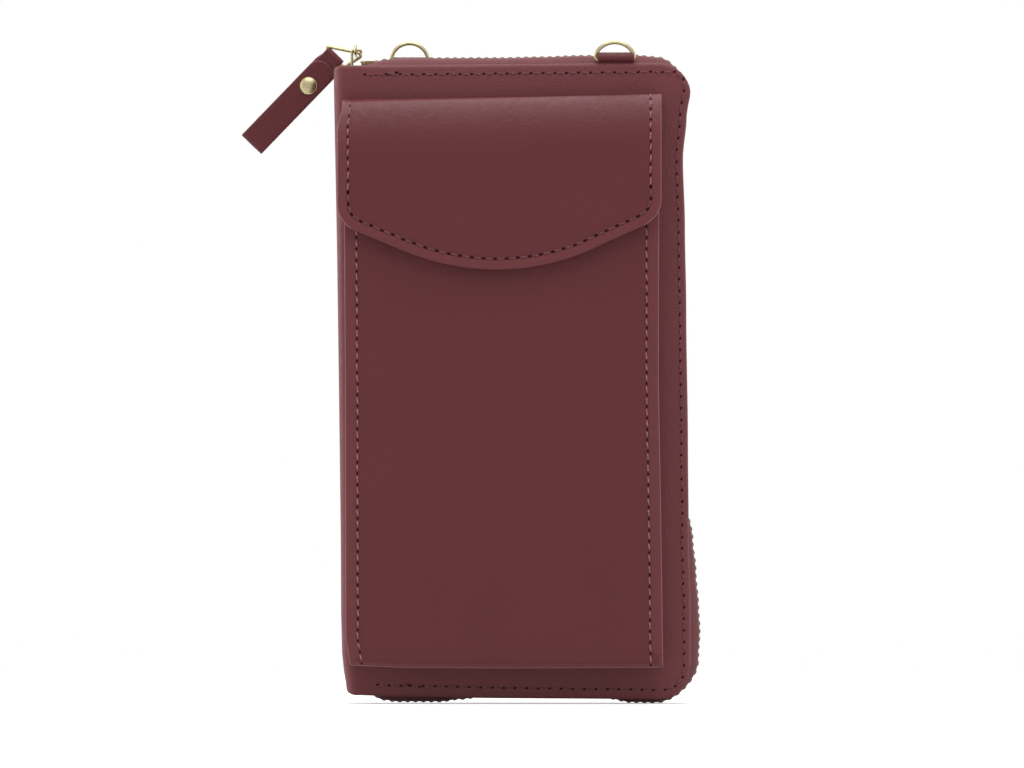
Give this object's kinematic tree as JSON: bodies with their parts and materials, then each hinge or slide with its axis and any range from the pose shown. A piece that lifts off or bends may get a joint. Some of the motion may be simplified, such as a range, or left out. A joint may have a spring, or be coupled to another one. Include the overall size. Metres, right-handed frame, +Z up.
{
  "type": "phone pouch",
  "caption": "Zip-around leather phone wallet with a flapped phone pocket on its front, card slots inside, D-rings for a shoulder strap and a riveted zip pull.",
  "frame": {"origin": "middle of the back cover's bottom edge, on the back cover's outer face", "axes": "+Z up, along the pouch's height; the phone pocket faces -Y; the spine is at -X"},
  "size_m": [0.1337, 0.0367, 0.1961],
  "materials": {
    "leather": "satin grained",
    "lining": "woven",
    "board": "matt",
    "zip_tape": "woven tape",
    "zip_metal": "satin",
    "brass": "polished, pale"
  },
  "bodies": {
    "back_shell": {"back_cover": "leather", "spine_panel": "leather", "spine_lining": "lining", "back_board": "board", "back_lining": "lining", "back_card_slot_1": "leather", "back_card_slot_2": "leather", "back_card_slot_3": "leather", "back_card_slot_4": "leather", "back_card_slot_5": "leather", "back_zip_tape": "zip_tape", "back_zip_teeth": "zip_metal", "back_zip_stops": "zip_metal", "left_dring_tab": "leather"},
    "front_shell": {"front_cover": "leather", "front_board": "board", "front_lining": "lining", "front_card_slot_1": "leather", "front_card_slot_2": "leather", "front_card_slot_3": "leather", "front_card_slot_4": "leather", "front_card_slot_5": "leather", "front_zip_tape": "zip_tape", "front_zip_teeth": "zip_metal", "front_zip_stops": "zip_metal", "right_dring_tab": "leather", "pocket_back": "leather", "pocket_front": "leather", "snap_socket": "brass"},
    "flap_bridge": {"flap_bridge": "leather", "flap_bridge_lining": "lining"},
    "flap": {"flap_outer": "leather", "flap_lining": "lining", "snap_stud": "brass"},
    "left_ring": {"left_dring": "brass"},
    "right_ring": {"right_dring": "brass"},
    "slider": {"zip_slider": "brass"},
    "pull_link": {"pull_link": "brass"},
    "pull_ring": {"pull_ring": "brass"},
    "pull_strap": {"pull_strap": "leather", "rivet_post": "brass", "rivet_cap": "brass"}
  },
  "joints": [
    {"name": "cover_hinge", "type": "hinge", "parent": "back_shell", "child": "front_shell", "pos_m": [-0.0514, -0.0174, 0.0941], "axis": [0, 0, -1], "range_deg": [0, 150]},
    {"name": "flap_lift", "type": "hinge", "parent": "front_shell", "child": "flap_bridge", "pos_m": [-0.0036, -0.0191, 0.17845], "axis": [-1, 0, 0], "range_deg": [0, 85]},
    {"name": "flap_fold", "type": "hinge", "parent": "flap_bridge", "child": "flap", "pos_m": [-0.0036, -0.03075, 0.17845], "axis": [-1, 0, 0], "range_deg": [0, 85]},
    {"name": "left_ring_tip", "type": "hinge", "parent": "back_shell", "child": "left_ring", "pos_m": [-0.0306, -0.002, 0.1897], "axis": [1, 0, 0], "range_deg": [-95, 45]},
    {"name": "right_ring_tip", "type": "hinge", "parent": "front_shell", "child": "right_ring", "pos_m": [0.0306, -0.016, 0.1897], "axis": [-1, 0, 0], "range_deg": [-95, 45]},
    {"name": "slider_run", "type": "slide", "parent": "back_shell", "child": "slider", "axis": [1, 0, 0], "range_m": [0, 0.078], "deforming": ["pull_link", "pull_ring", "pull_strap", "rivet_post", "rivet_cap", "front_zip_teeth", "back_zip_teeth"]},
    {"name": "link_tip", "type": "hinge", "parent": "slider", "child": "pull_link", "pos_m": [-0.04685, -0.009, 0.19285], "axis": [1, 0, 0], "range_deg": [0, 150]},
    {"name": "pull_swing", "type": "hinge", "parent": "pull_link", "child": "pull_ring", "pos_m": [-0.04685, 0.0033, 0.19235], "axis": [0, 1, 0], "range_deg": [-35, 10]},
    {"name": "strap_swing", "type": "hinge", "parent": "pull_ring", "child": "pull_strap", "pos_m": [-0.05256, 0.0033, 0.19009], "axis": [0.7193, 0, -0.6947], "range_deg": [0, 100]}
  ],
  "couplings": [
    {"joint": "flap_fold", "follows": "flap_lift", "ratio": 1}
  ]
}
